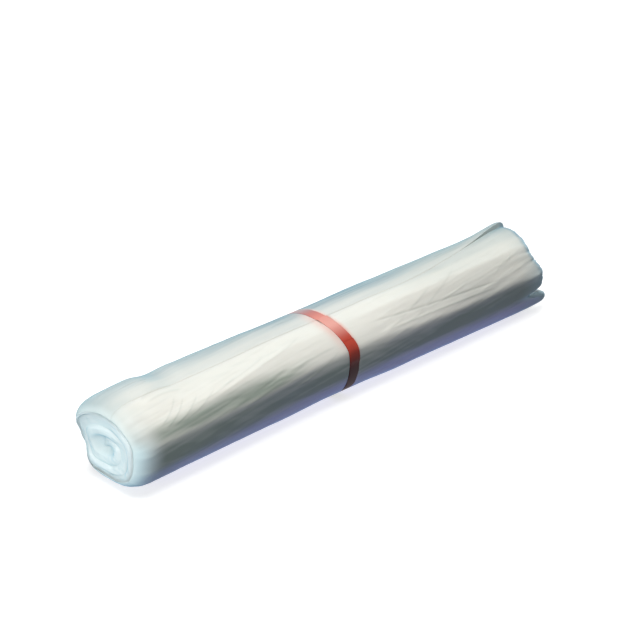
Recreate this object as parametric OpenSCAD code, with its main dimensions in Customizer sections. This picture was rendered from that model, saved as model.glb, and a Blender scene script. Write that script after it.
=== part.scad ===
// Coreless roll of thin bin liners, lying on its side, with a tape band round its middle.
// The roll lies along X and rests on the plane z = 0. The tail corner that lifts is at the +X end.

/* [Roll] */
// Length of the roll over its loose film ends, a little more than the width of the folded liners
roll_l = 304; // [220:2:420]
// Width of the wound section at the band
roll_w = 50; // [40:1:70]
// Width of the section at the near end, where the film is slack
near_w = 54; // [42:1:74]
// Width of the section at the far end
far_w = 47; // [38:1:68]
// Height of the wound section before its underside is pressed flat
roll_h = 45.5; // [34:0.5:64]
// Squareness of the section at the band, where 2 is an ellipse
squareness = 2.25; // [2:0.05:2.8]
// Squareness of the section at both ends
end_square = 2.5; // [2:0.05:3]
// Sideways shift of the near end, where the roll bends a little
near_shift = -2.5; // [-6:0.5:6]
// Depth by which the roll's weight presses its underside flat
flat_sag = 1; // [0.6:0.1:2]
// Lean of the section at the near end, in degrees
lean_near = 2; // [-6:1:8]
// Lean of the section at the far end, in degrees
lean_far = 6; // [-6:1:8]

/* [Film] */
// Thickness of the loose outer turn at its tail edge
tail_t = 0.5; // [0.4:0.1:1.5]
// Place of the tail edge round the section, in degrees from +Y towards +Z
tail_at = 94; // [80:1:100]
// Angle by which the tail edge wanders over the back on its way to the far end
tail_drift = 38; // [0:1:45]
// Height of the tail corner that lifts at the far end
flap_lift = 2.8; // [0.5:0.1:4.5]
// Length of the tail corner that lifts
flap_l = 52; // [20:1:70]
// Height of the slack waves along the body
wave_h = 0.45; // [0:0.05:0.8]
// Swelling of the slack film behind the near end's top edge
shoulder_h = 1.6; // [0:0.1:3]
// Depth of the fold in which that swelling ends
neck_d = 1.9; // [0:0.1:3.5]
// Height by which the film bulges over the back on both sides of the band
bulge_h = 1.5; // [0:0.1:3]
// Depth of the dent in the near end's back side
dent_d = 1.6; // [0:0.1:3]
// Depth by which the lower front corner is drawn in at the near end
under_near = 1.5; // [0:0.1:3]
// Depth by which the lower front corner is drawn in at the far end
under_far = 0.8; // [0:0.1:3]

/* [Pressed facets] */
// Upper border of the top facet, in degrees from +Y towards +Z
top_from = 96; // [90:1:104]
// Lower border of the top facet at the band and the far end, in degrees
top_to_far = 119; // [114:1:128]
// Lower border of the top facet at the near end, in degrees
top_to_near = 143; // [134:1:148]
// Lower border of the narrow facet below it, in degrees
edge_to = 163; // [160:1:172]
// Angle by which that border rises at the band and beyond it
edge_rise = 8; // [0:1:10]
// Lower border of the front facet, in degrees
front_to = 215; // [205:1:222]
// Flatness of the top and narrow facets, from 0 for round to 1 for flat
top_flat = 0.75; // [0:0.05:1]
// Flatness of the front facet
front_flat = 0.65; // [0:0.05:1]

/* [Ends] */
// Turns of film that show as soft bundles on each end
end_turns = 3; // [2:1:5]
// Length over which the film's folded edges round off at the slack near end
near_round = 12; // [5:0.5:16]
// Length over which they round off at the far end
far_round = 6; // [4:0.5:16]
// Inset of the outermost turn's lip from the body at the near end
near_inset = 5.5; // [2:0.5:7]
// Inset of the outermost turn's lip from the body at the far end
far_inset = 3; // [2:0.5:6]
// Depth of the groove between two bundles
bundle_relief = 1.3; // [0.5:0.1:3]
// Half width of the slit at the middle of the winding
eye_w = 7; // [3:0.5:10]
// Half height of that slit
eye_h = 1.8; // [1:0.1:3]
// Depth of that slit
eye_depth = 9; // [4:0.5:14]
// Tilt of that slit, in degrees
eye_tilt = -24; // [-40:1:40]
// Height of that slit above the plane the roll rests on
eye_z = 20; // [14:1:28]
// Height by which the upper back lobe stands out of the near end
lobe_out = 3.5; // [0:0.5:5]
// Depth by which the lip dips below that lobe
near_dip = 2.6; // [0:0.2:4]
// Length of the tongue of film that stands out of the far end's lower front
tongue_l = 6; // [0:0.5:8]
// Depth of the notch above that tongue
notch_d = 9; // [0:0.5:10]
// Depth by which the far end's upper front edge falls back
far_fall = 5; // [0:0.5:7]
// Depth by which the winding of the far end lies behind its outermost turn
far_sink = 5; // [0:0.5:7]

/* [Tape band] */
// Width of the tape
tape_w = 7; // [4:0.5:14]
// Thickness of the tape
tape_t = 0.25; // [0.15:0.05:0.6]
// Place of the band's middle along the roll
tape_x = -5.5; // [-20:0.5:-4]
// Skew of the band across the roll, in degrees
tape_skew = 18; // [0:1:20]
// Length of the overlap of the tape's two ends
tape_lap = 14; // [8:1:24]
// Place of the tape's outer end, in degrees from +Y towards +Z
tape_end_at = 138; // [120:1:160]
// Depth by which the band pulls the film in
waist_d = 0.8; // [0:0.1:1.5]
// Clearance between the tape and the film
tape_gap = 0.05; // [0.02:0.01:0.1]

/* [Hidden] */

// Steps round the section, and steps across one bundle on an end
around = 90;
across = 4;
// Stations along each half of the body, and along an end's rounding
body_steps = 11;
round_steps = 4;

half_l = roll_l / 2;
axis_z = roll_h / 2 - flat_sag;
groove_d = tape_t + 2 * tape_gap;
skew_slope = tan(tape_skew);
// Length of the tape once round the section, near enough to place steps along it
girth = PI * (roll_w + roll_h) / 2;
// Stretch either side of the band's middle where the section stays the same
calm_half = tape_w / 2 + roll_w / 2 * skew_slope + 1.5;
// Half width of the groove's floor and of its mouth
floor_half = tape_w / 2 + tape_gap;
mouth_half = floor_half + tape_gap;
// Arc in degrees through which the film rounds off before the outermost bundle takes over
round_arc = 62;
// Drop of the outermost lip below the crests, a little more than the grooves between them
rim_drop = bundle_relief + 0.2;
// Unevenness of the bundles, and how far the winding sinks towards its middle
puff_h = 0.7;
puff_counts = [2, 0.42];
middle_sink = 0.6;
// How soon the uneven reach of each end's lip dies out towards the middle, and the share of the way in
// over which the far winding sinks
reach_fades = [2, 6];
sink_share = 0.3;
// Setback of both ends from the full length, which leaves room for the near lobe
end_slack = max(0, lobe_out - puff_h);
// Roundness of a bundle's crest, where more is flatter
crest_round = 1.5;
// Shares of a turn: where the outermost bundle's rim ends, in which a bundle grows to its full roundness,
// and in which the lifted corner dies out
rim_turn = 0.15;
grow_turn = 0.2;
flap_turn = 0.1;
// Bend of the tail edge's path, where more keeps it straight for longer
tail_bend = 3;
// Stretch of the body that follows the uneven ends, that fades the waist, and that turns square again
reach_l = 34;
waist_l = 30;
square_l = 60;
// Slack waves: counts round the section, twist in degrees per millimetre, and their shares
wave_counts = [3, 5];
wave_twists = [1.1, -2.5];
wave_shares = [0.6, 0.4];
// Shoulder, fold, bulge and dent: their places from the near end and half lengths along the roll
shoulder_from = 32;
neck_from = 44;
neck_l = 14;
bulge_l = 55;
dent_l = 30;
// Facets: length over which the top one narrows, over which the narrow one's border rises, softness of
// the edges between them, share of their depth under the band and at the near end, and that end's length
top_turn_l = 115;
edge_l = 65;
facet_soft = 0.3;
facet_band = 0.5;
facet_end = 0.5;
facet_end_l = 34;
// Soft places round the section, each as [angle, reach in degrees]
shoulder_place = [70, 60];
neck_place = [66, 50];
bulge_place = [74, 45];
dent_place = [-8, 40];
under_place = [232, 55];
near_lobe_place = [42, 62];
near_dip_place = [-25, 45];
tongue_place = [212, 18];
notch_place = [191, 10];
far_fall_place = [122, 62];

// A smooth rise from 0 to 1 as v goes from 0 to 1
function rise(v) = let (c = min(1, max(0, v))) c * c * (3 - 2 * c);

// The shortest way from angle b to angle a, between -180 and 180
function turn(a, b) = let (d = (a - b) % 360) d > 180 ? d - 360 : d < -180 ? d + 360 : d;

// A soft hump of height 1 round the angle place[0], which ends place[1] degrees away
function hump(a, place) = rise(1 - abs(turn(a, place[0])) / place[1]);

// A soft hump of height 1 round place c, which ends w away
function swell(v, c, w) = rise(1 - abs(v - c) / w);

// A power that keeps the sign
function signed_pow(v, p) = sign(v) * pow(abs(v), p);

// Distance from the calm stretch at the band, negative on the near side
function away(x) = sign(x - tape_x) * max(0, abs(x - tape_x) - calm_half);

// Share of the way to an end, 0 at the calm stretch and 1 at the near or far end
function near_share(x) = max(0, -away(x)) / (half_l + tape_x - calm_half);
function far_share(x) = max(0, away(x)) / (half_l - tape_x - calm_half);

// A value that is mid at the band and changes smoothly to near and far at the ends
function along(x, near, mid, far) =
    mid + (near - mid) * rise(near_share(x)) + (far - mid) * rise(far_share(x));

// Lean, width, squareness and sideways shift of the section
function lean(x) = along(x, lean_near, (lean_near + lean_far) / 2, lean_far);
function width(x) = along(x, near_w, roll_w, far_w);
function square(x) = along(x, end_square, squareness, end_square);
function shift(x) = along(x, near_shift, 0, 0);

// Angle of the tail edge
function tail_angle(x) = tail_at - tail_drift * pow(far_share(x), tail_bend);

// Slack waves of the film at angle t, d away from the calm stretch
function waves(d, t) = wave_h * (
    wave_shares[0] * sin(wave_counts[0] * t + wave_twists[0] * d)
    + wave_shares[1] * sin(wave_counts[1] * t + wave_twists[1] * d)
);

// Depth by which a facet lies inside the round section: a parabola between its borders start and stop,
// with soft edges, as deep as its flatness times the height of the arc over its chord
function facet(t, start, stop, flatness) =
    let (half = (stop - start) / 2,
         v = turn(t, (start + stop) / 2) / half,
         bow = 1 - v * v,
         arc_h = (roll_w + roll_h) / 8 * pow(half * PI / 180, 2))
    flatness * arc_h * (bow + sqrt(bow * bow + facet_soft * facet_soft)) / 2;

// Depth of the three pressed facets: the top, the narrow one below it and the front
function facets(x, t) =
    let (top_to = top_to_far + (top_to_near - top_to_far) * rise(-away(x) / top_turn_l),
         edge = edge_to - edge_rise * rise(1 - max(0, -away(x)) / edge_l))
    facet(t, top_from, top_to, top_flat)
    + facet(t, top_to, edge, top_flat)
    + facet(t, edge, front_to, front_flat);

// Share of the facets' depth at x: less under the tight band and at the slack near end
function pressed(x) =
    (facet_band + (1 - facet_band) * rise(abs(away(x)) / waist_l))
    * (1 - (1 - facet_end) * rise((-x - half_l + facet_end_l) / facet_end_l));

// Outward swelling of the film at angle t: the waist, slack waves, shoulder and the fold behind it,
// bulge, side dent, undercut and facets
function swelling(x, t) =
    let (free = rise(abs(away(x)) / waist_l))
    waist_d * (free - 1)
    + free * waves(away(x), t)
    + shoulder_h * swell(x, shoulder_from - half_l, shoulder_from) * hump(t, shoulder_place)
    - neck_d * swell(x, neck_from - half_l, neck_l) * hump(t, neck_place)
    + bulge_h * rise(1 - abs(away(x)) / bulge_l) * hump(t, bulge_place)
    - dent_d * swell(x, -half_l, dent_l) * hump(t, dent_place)
    - along(x, under_near, 0, under_far) * hump(t, under_place)
    - pressed(x) * facets(x, t);

// Height by which the outer turn stands proud, s turns inwards from its tail edge
function proud(x, s) =
    tail_t * max(0, 1 - s)
    + flap_lift * rise((x - half_l + flap_l) / flap_l) * rise(1 - s / flap_turn);

// One point of the section as [y, z], s turns inwards from the tail edge and set back by inset
function outline(x, s, inset) =
    let (t = tail_angle(x) - 360 * s,
         c = cos(t),
         d = sin(t),
         e = 2 / square(x),
         w = width(x),
         gy = signed_pow(c, 2 - e) / w,
         gz = signed_pow(d, 2 - e) / roll_h,
         g = norm([gy, gz]),
         off = swelling(x, t) + proud(x, s) - inset,
         y = w / 2 * signed_pow(c, e) + off * gy / g,
         z = roll_h / 2 * signed_pow(d, e) + off * gz / g,
         a = lean(x))
    [shift(x) + y * cos(a) - z * sin(a), axis_z + y * sin(a) + z * cos(a)];

// The section with its underside pressed flat at height floor_z
function rested(x, s, inset, floor_z) =
    let (p = outline(x, s, inset))
    [p[0], max(p[1], floor_z)];

// Skew of a station: full at the band, and none from the rounding of the ends on
function station_skew(x) = skew_slope * (1 - rise(abs(away(x)) / square_l));

// Outward reach of the film's edge at angle t, on the near and the far end
function near_reach(t) = lobe_out * hump(t, near_lobe_place) - near_dip * hump(t, near_dip_place);
function far_reach(t) =
    tongue_l * hump(t, tongue_place)
    - notch_d * hump(t, notch_place)
    - far_fall * hump(t, far_fall_place);
function reach(side, t) = side < 0 ? near_reach(t) : far_reach(t);

// Share of an end's reach that the body follows at x, from 0 at reach_l inside the end to 1 at the lip
function follow(x) = rise((abs(x) - half_l + reach_l) / (reach_l - end_slack - rim_drop));

// One ring of the body, from the tail edge once round to the foot of the tail
function ring(x, inset, floor_z) = [
    for (i = [0:around])
        let (s = i / around,
             p = rested(x, s, inset, floor_z),
             stretch = sign(x) * follow(x) * reach(x, tail_angle(x) - 360 * s))
        [x + stretch - p[0] * station_skew(x), p[0], p[1]]
];

// The slit at the middle of the winding, as [y, z]
function eye(t) =
    let (y = eye_w * cos(t), z = eye_h * sin(t))
    [y * cos(eye_tilt) - z * sin(eye_tilt), eye_z + y * sin(eye_tilt) + z * cos(eye_tilt)];

// Share of the way from the lip to the slit, s turns inwards from the tail edge
function depth_share(s) = max(0, s - 1) / end_turns;

// Inset of the lip from the body on each end
function lip_inset(side) = side < 0 ? near_inset : far_inset;

// One point of the line between two bundles, s turns inwards from the tail edge, as [y, z]
function seam_point(side, s) =
    let (x0 = side * half_l,
         t = tail_angle(x0) - 360 * s,
         f = depth_share(s),
         inset = lip_inset(side))
    (1 - f) * rested(x0, s, inset, inset) + f * eye(t);

// Depth by which an end's winding lies behind its outermost turn
function end_sink(side) = side < 0 ? 0 : far_sink;

// How far a bundle has grown to its full roundness, from 0 at the thin tail edge
function grown(s) = rise(s / grow_turn);

// One point of an end's winding: side is -1 or 1, s the turns inwards, u the place across a bundle
function wound(side, s, u) =
    let (t = tail_angle(side * half_l) - 360 * s,
         f = (1 - u) * depth_share(s) + u * depth_share(s + 1),
         p = (1 - u) * seam_point(side, s) + u * seam_point(side, s + 1),
         outer = u < 0.5 ? rise((1 - s) / rim_turn) : 0,
         crest = grown(s) * (1 - pow(1 - sin(180 * u), crest_round + outer * (1 - crest_round))),
         drop = u == 0 && s <= 1 ? rim_drop : bundle_relief * (1 - crest),
         puff = puff_h * crest * sin(puff_counts[0] * t + puff_counts[1] * 360 * s),
         uneven = reach(side, t) * pow(1 - f, reach_fades[side < 0 ? 0 : 1]),
         sunk = middle_sink * f * f + end_sink(side) * rise(f / sink_share),
         out = uneven + puff - drop - sunk)
    [side * (half_l - end_slack + out), p[0], p[1]];

// Index of a point of a winding in the point list that starts at base
function wound_id(base, i, p) =
    p == across ? wound_id(base, i + around, 0)
    : i <= around * end_turns ? base + i * across + p
    : base + (around * end_turns + 1) * across + i - around * end_turns - 1;

wound_count = (around * end_turns + 1) * across + around + 1;

function winding(side) = concat(
    [for (i = [0:around * end_turns], p = [0:across - 1]) wound(side, i / around, p / across)],
    [for (i = [around * end_turns + 1:around * (end_turns + 1)]) wound(side, i / around, 0)],
    [[side * (half_l - end_slack - end_sink(side) - eye_depth), 0, eye_z]]
);

function flip(tri, do) = do ? [tri[2], tri[1], tri[0]] : tri;

// Triangles of a winding, with a small face at the tail edge and a fan down to the slit's deepest point
function winding_faces(base, side) =
    let (last = around * end_turns,
         deep = base + wound_count - 1,
         rim = concat(
             [for (i = [last:last + around]) wound_id(base, i, 0)],
             [for (p = [across - 1:-1:1]) wound_id(base, last, p)]))
    concat(
        [for (i = [0:last - 1], p = [0:across - 1], h = [0, 1])
            let (a = wound_id(base, i, p),
                 b = wound_id(base, i + 1, p),
                 c = wound_id(base, i + 1, p + 1),
                 d = wound_id(base, i, p + 1))
            flip(h == 0 ? [a, b, c] : [a, c, d], side < 0)],
        [for (p = [1:across - 1])
            flip([wound_id(base, 0, 0), wound_id(base, 0, p), wound_id(base, 0, p + 1)], side < 0)],
        [for (k = [0:len(rim) - 1])
            flip([rim[k], rim[(k + 1) % len(rim)], deep], side < 0)]
    );

// Places where the body's straight part ends and the roundings begin
near_flank = -half_l + end_slack + rim_drop + near_round;
far_flank = half_l - end_slack - rim_drop - far_round;

// Share of the way along an end's rounding and of its inset, at step k from the flank to the lip
function bend_share(k) = sin(round_arc * k / round_steps) / sin(round_arc);
function inset_share(k) = (1 - cos(round_arc * k / round_steps)) / (1 - cos(round_arc));

// Stations along the body as [x, inset, floor]: near rounding, near half, groove, far half, far rounding
stations = concat(
    [for (k = [round_steps - 1:-1:0])
        [near_flank - near_round * bend_share(k), near_inset * inset_share(k), 0]],
    [for (k = [1:body_steps - 1])
        [near_flank + (tape_x - mouth_half - near_flank) * k / body_steps, 0, 0]],
    [[tape_x - mouth_half, 0, 0],
     [tape_x - floor_half, groove_d, groove_d],
     [tape_x + floor_half, groove_d, groove_d],
     [tape_x + mouth_half, 0, 0]],
    [for (k = [1:body_steps - 1])
        [tape_x + mouth_half + (far_flank - tape_x - mouth_half) * k / body_steps, 0, 0]],
    [for (k = [0:round_steps - 1])
        [far_flank + far_round * bend_share(k), far_inset * inset_share(k), 0]]
);

// The wound web of film: both windings and the body between them as one closed skin
module bag_roll() {
    near_base = 0;
    far_base = wound_count;
    body_base = 2 * wound_count;
    rings = len(stations);
    row = around + 1;
    points = concat(
        winding(-1),
        winding(1),
        [for (st = stations) each ring(st[0], st[1], st[2])]
    );
    function id(j, i) =
        j == 0 ? wound_id(near_base, i, 0)
        : j == rings + 1 ? wound_id(far_base, i, 0)
        : body_base + (j - 1) * row + i;
    body_faces = [
        for (j = [0:rings], i = [0:around], h = [0, 1])
            let (n = (i + 1) % row,
                 a = id(j, i),
                 b = id(j + 1, i),
                 c = id(j + 1, n),
                 d = id(j, n))
            h == 0 ? [c, b, a] : [d, c, a]
    ];
    color([0.9, 0.93, 0.92])
        polyhedron(points, concat(body_faces, winding_faces(near_base, -1), winding_faces(far_base, 1)));
}

// One point of the tape's section, at step i and lifted by up from the groove's floor
function tape_point(i, up) =
    rested(tape_x, i / around, groove_d - up, groove_d - up);

// Angle of a step on the tape, and the step at an angle
function tape_step(t) = (tail_angle(tape_x) - t + 720) % 360 / 360 * around;

// The adhesive tape, once round the waist with its outer end lapped over its start
module tape_band() {
    lap_from = tape_step(tape_end_at);
    lap_to = lap_from - tape_lap / girth * around;
    lo = min(lap_from, lap_to);
    hi = max(lap_from, lap_to);
    single = tape_gap + tape_t;
    double = tape_gap + 2 * tape_t;
    outer = concat(
        [for (i = [0:around]) if (i < lo) tape_point(i, single)],
        [tape_point(lo, single), tape_point(lo, double)],
        [for (i = [0:around]) if (i > lo && i < hi) tape_point(i, double)],
        [tape_point(hi, double), tape_point(hi, single)],
        [for (i = [0:around]) if (i > hi) tape_point(i, single)]
    );
    // The last point stands off the tail's end face, which the tape steps down over
    inner = concat(
        [for (i = [0:around - 1]) tape_point(i, tape_gap)],
        [tape_point(around * (1 - tape_gap / girth), tape_gap)]
    );
    reach_x = tape_w + roll_w;
    color([0.8, 0.16, 0.1])
        intersection() {
            translate([tape_x - reach_x / 2, 0, 0])
                rotate([90, 0, 90])
                    linear_extrude(reach_x)
                        difference() {
                            polygon(outer);
                            polygon(inner);
                        }
            translate([tape_x, 0, roll_h / 2])
                rotate([0, 0, tape_skew])
                    cube([tape_w * cos(tape_skew), 2 * roll_w, 2 * roll_h], center = true);
        }
}

bag_roll();
tape_band();
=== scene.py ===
import bpy
import numpy as np
from mathutils import Matrix, Vector


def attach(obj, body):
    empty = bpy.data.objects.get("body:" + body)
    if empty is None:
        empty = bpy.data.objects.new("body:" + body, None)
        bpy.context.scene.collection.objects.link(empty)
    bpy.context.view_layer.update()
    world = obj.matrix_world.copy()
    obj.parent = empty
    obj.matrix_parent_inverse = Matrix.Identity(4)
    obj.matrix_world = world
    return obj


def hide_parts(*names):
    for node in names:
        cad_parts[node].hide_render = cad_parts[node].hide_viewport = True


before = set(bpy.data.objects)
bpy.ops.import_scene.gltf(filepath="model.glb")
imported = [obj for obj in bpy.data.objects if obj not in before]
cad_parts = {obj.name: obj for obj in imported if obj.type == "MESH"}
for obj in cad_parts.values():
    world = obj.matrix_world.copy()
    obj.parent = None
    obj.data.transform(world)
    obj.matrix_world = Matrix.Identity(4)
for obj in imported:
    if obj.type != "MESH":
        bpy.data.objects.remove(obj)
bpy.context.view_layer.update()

# Looks of a coreless roll of thin bin liners with a tape band round its middle.
# Lengths are in millimetres until a mesh is made, and angles in degrees. The roll lies along X.
MM = 0.001

# Roll, with the driving sizes of the solid
ROLL_L = 304.0
ROLL_W, NEAR_W, FAR_W = 50.0, 54.0, 47.0
ROLL_H = 45.5
SQUARENESS, END_SQUARE = 2.25, 2.5
NEAR_SHIFT = -2.5
FLAT_SAG = 1.0
LEAN_NEAR, LEAN_FAR = 2.0, 6.0
TAIL_T = 0.5
TAIL_AT, TAIL_DRIFT = 94.0, 38.0
FLAP_LIFT, FLAP_L = 2.8, 52.0
WAVE_H = 0.45
SHOULDER_H, NECK_D, DENT_D = 1.6, 1.9, 1.6
UNDER_NEAR, UNDER_FAR = 1.5, 0.8
BULGE_H = 1.5

# Ends. The roundings are a little wider than the solid's, and the bundles and the slit shallower,
# because light goes into film and softens them.
END_TURNS = 3
NEAR_ROUND, FAR_ROUND = 12.5, 6.0
NEAR_INSET, FAR_INSET = 5.5, 3.0
ROUND_ARC = 82.0
BUNDLE_RELIEF = 0.65
EYE_W, EYE_H, EYE_DEPTH, EYE_TILT, EYE_Z = 7.0, 1.8, 4.0, -24.0, 20.0
LOBE_OUT, NEAR_DIP = 3.5, 2.6
TONGUE_L, NOTCH_D, FAR_FALL, FAR_SINK = 6.0, 9.0, 5.0, 5.0
# Raggedness of the torn edge at the far end: depth, steps round the section and seed
RAGGED_H, RAGGED_COUNT, RAGGED_SEED = 0.45, 100, 71

# Tape band
TAPE_W, TAPE_T = 7.0, 0.25
TAPE_X, TAPE_SKEW = -5.5, 18.0
TAPE_LAP, TAPE_END_AT = 14.0, 138.0
WAIST_D = 0.8
TAPE_GAP = 0.05

# Places worked out from those sizes
HALF_L = ROLL_L / 2
AXIS_Z = ROLL_H / 2 - FLAT_SAG
GROOVE_D = TAPE_T + 2 * TAPE_GAP
SKEW_SLOPE = np.tan(np.radians(TAPE_SKEW))
GIRTH = np.pi * (ROLL_W + ROLL_H) / 2
CALM_MARGIN = 1.5
CALM_HALF = TAPE_W / 2 + ROLL_W / 2 * SKEW_SLOPE + CALM_MARGIN

# Bundles of an end: their puffs, the sunk middle, how fast the reach of each end and the far end's
# sinking fade inwards, and the roundness of the crests, which grow from the tail edge
PUFF_H, PUFF_COUNTS = 0.7, (2, 0.42)
END_SLACK = max(0.0, LOBE_OUT - PUFF_H)
MIDDLE_SINK = 0.6
REACH_FADES, SINK_SHARE = (2, 6), 0.3
CREST_ROUND, RIM_TURN, GROW_TURN = 1.5, 0.15, 0.2
# Drop of the lip behind the crests, and the turns where it becomes the bundles' full relief
RIM_DROP, RIM_TO, RIM_SOFT = 0.35, 0.85, 0.3

# Outer turn: onset of its tail edge, the edge's bend over the back, and turns of its lifted corner
TAIL_SOFT, TAIL_LEAST, TAIL_BEND = 0.03, 0.04, 3
FLAP_TURN = 0.1
# Lengths over which the reach of the ends, the waist and the skew of the band run out
REACH_L, WAIST_L, SQUARE_L = 34.0, 30.0, 60.0
# Slack waves: their counts round the section, twists along the roll and shares
WAVE_COUNTS, WAVE_TWISTS, WAVE_SHARES = (3, 5), (1.1, -2.5), (0.6, 0.4)
# Places and lengths along the roll of its soft forms
SHOULDER_FROM, DENT_L = 32.0, 30.0
NECK_FROM, NECK_L = 44.0, 14.0
BULGE_L = 55.0

# Soft places round the section, each as (angle from +Y towards +Z, reach)
SHOULDER_PLACE = (70, 60)
NECK_PLACE = (66, 50)
BULGE_PLACE = (74, 45)
DENT_PLACE = (-8, 40)
UNDER_PLACE = (232, 55)
NEAR_LOBE_PLACE = (42, 62)
NEAR_DIP_PLACE = (-25, 45)
TONGUE_PLACE = (212, 18)
NOTCH_PLACE = (191, 10)
FAR_FALL_PLACE = (122, 62)

# Facets that the roll was pressed to: the borders of the top facet, of the narrow one below it and
# of the front, their share of full flatness, and the softness of the edges between them. On the
# far half the top facet ends earlier than the solid's, and the narrow one reaches further down.
TOP_FROM, TOP_TO_FAR, TOP_TO_NEAR, TOP_TURN_L = 96.0, 113.0, 143.0, 115.0
EDGE_TO, EDGE_RISE, EDGE_L = 163.0, 8.0, 65.0
EDGE_FALL, EDGE_FALL_FROM, EDGE_FALL_L = 11.0, 10.0, 90.0
FRONT_TO = 215.0
FACET_SHARES = (0.75, 0.75, 0.65)
FACET_SOFT = 0.3
FACET_BAND, FACET_END, FACET_END_L = 0.5, 0.5, 34.0

# Fineness of the meshes: steps round the section, across a bundle, along the body and a rounding
AROUND = 360
ACROSS = 24
BODY_STEP = 1.15
ROUND_STEPS = 12
TAPE_STEPS, TAPE_ACROSS = 520, 15
# Width of the sloping flanks of the band's groove, and a hair that keeps its floor's edge inside
GROOVE_FLANK, HAIR = 0.3, 0.01

# Camera: the direction it looks from, its distance, its aim, its lens, and how many metres it sees
CAM_AZIMUTH, CAM_ELEVATION = -42.4, 28.0
CAM_DISTANCE = 1500.0
CAM_AIM = (-1.6, 0.0, 40.6)
CAM_FOCAL_PX, FRAME_PX, SENSOR_MM = 2834.0, 640.0, 36.0
CAM_CLIP_M = 100


def rise(v):
    """A smooth rise from 0 to 1 as v goes from 0 to 1: 3v squared minus 2v cubed."""
    c = np.clip(v, 0, 1)
    return c * c * (3 - 2 * c)


def turn(a, b):
    """The shortest way from angle b to angle a, between -180 and 180."""
    return (a - b + 180) % 360 - 180


def hump(a, place):
    """A soft hump of height 1 round the angle place[0], which ends place[1] degrees away."""
    return rise(1 - np.abs(turn(a, place[0])) / place[1])


def swell(v, c, w):
    """A soft hump of height 1 round c, which ends w away."""
    return rise(1 - np.abs(v - c) / w)


def signed_pow(v, p):
    """A power that keeps the sign."""
    return np.sign(v) * np.abs(v) ** p


def cos_deg(a):
    """Cosine of an angle in degrees."""
    return np.cos(np.radians(a))


def sin_deg(a):
    """Sine of an angle in degrees."""
    return np.sin(np.radians(a))


def away(x):
    """Distance from the calm stretch at the band, negative on the near side."""
    return np.sign(x - TAPE_X) * np.maximum(0, np.abs(x - TAPE_X) - CALM_HALF)


def near_share(x):
    """Share of the way from the band to the near end."""
    return np.maximum(0, -away(x)) / (HALF_L + TAPE_X - CALM_HALF)


def far_share(x):
    """Share of the way from the band to the far end."""
    return np.maximum(0, away(x)) / (HALF_L - TAPE_X - CALM_HALF)


def along(x, near, mid, far):
    """A value that is mid at the band and changes smoothly to near and far at the ends."""
    return mid + (near - mid) * rise(near_share(x)) + (far - mid) * rise(far_share(x))


def tail_angle(x):
    """Angle of the tail edge, which wanders over the back towards the far end."""
    return TAIL_AT - TAIL_DRIFT * far_share(x) ** TAIL_BEND


def lattice_noise(u, v, rows, cols, seed):
    """Smooth noise between -1 and 1: random values on a lattice of rows by cols, blended with the
    smooth rise. u runs over the rows from 0 to 1, and v over the cols, where it repeats with 1."""
    values = np.random.default_rng(seed).uniform(-1, 1, (rows + 1, cols))
    a = np.clip(u, 0, 1) * rows
    b = (v % 1) * cols
    i = np.minimum(a.astype(int), rows - 1)
    j = b.astype(int) % cols
    fa, fb = rise(a - i), rise(b - np.floor(b))
    k = (j + 1) % cols
    low = values[i, j] * (1 - fb) + values[i, k] * fb
    high = values[i + 1, j] * (1 - fb) + values[i + 1, k] * fb
    return low * (1 - fa) + high * fa


def slack_waves(x, t):
    """Slack waves of the film: two sines round the section that twist along the roll."""
    d = away(x)
    return WAVE_H * (
        WAVE_SHARES[0] * sin_deg(WAVE_COUNTS[0] * t + WAVE_TWISTS[0] * d)
        + WAVE_SHARES[1] * sin_deg(WAVE_COUNTS[1] * t + WAVE_TWISTS[1] * d)
    )


def swelling(x, t):
    """Outward swelling of the film: the waist, slack waves, shoulder, side dent and undercut."""
    free = rise(np.abs(away(x)) / WAIST_L)
    return (
        WAIST_D * (free - 1)
        + free * slack_waves(x, t)
        + SHOULDER_H * swell(x, SHOULDER_FROM - HALF_L, SHOULDER_FROM) * hump(t, SHOULDER_PLACE)
        - NECK_D * swell(x, NECK_FROM - HALF_L, NECK_L) * hump(t, NECK_PLACE)
        + BULGE_H * rise(1 - np.abs(away(x)) / BULGE_L) * hump(t, BULGE_PLACE)
        - DENT_D * swell(x, -HALF_L, DENT_L) * hump(t, DENT_PLACE)
        - along(x, UNDER_NEAR, 0, UNDER_FAR) * hump(t, UNDER_PLACE)
        - pressed(x) * facets(x, t)
    )


def pressed(x):
    """Share of the facets' depth: less under the tight band and at the slack near end."""
    held = FACET_BAND + (1 - FACET_BAND) * rise(np.abs(away(x)) / WAIST_L)
    return held * (1 - (1 - FACET_END) * rise((-x - HALF_L + FACET_END_L) / FACET_END_L))


def facet(t, start, stop, share):
    """Depth by which a facet lies inside the round section: a parabola between its two borders,
    as deep as its share of the chord's sagitta, with soft edges."""
    half = (stop - start) / 2
    v = turn(t, (start + stop) / 2) / half
    bow = 1 - v * v
    flat = (bow + np.sqrt(bow * bow + FACET_SOFT ** 2)) / 2
    return share * (ROLL_W + ROLL_H) / 8 * np.radians(half) ** 2 * flat


def facets(x, t):
    """Depth of the three pressed facets: the top, the narrow one below it and the front."""
    top_to = TOP_TO_FAR + (TOP_TO_NEAR - TOP_TO_FAR) * rise(-away(x) / TOP_TURN_L)
    edge_to = EDGE_TO - EDGE_RISE * rise(1 - np.maximum(0, -away(x)) / EDGE_L)
    edge_to = edge_to + EDGE_FALL * rise((x - EDGE_FALL_FROM) / EDGE_FALL_L)
    return (
        facet(t, TOP_FROM, top_to, FACET_SHARES[0])
        + facet(t, top_to, edge_to, FACET_SHARES[1])
        + facet(t, edge_to, FRONT_TO, FACET_SHARES[2])
    )


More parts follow.
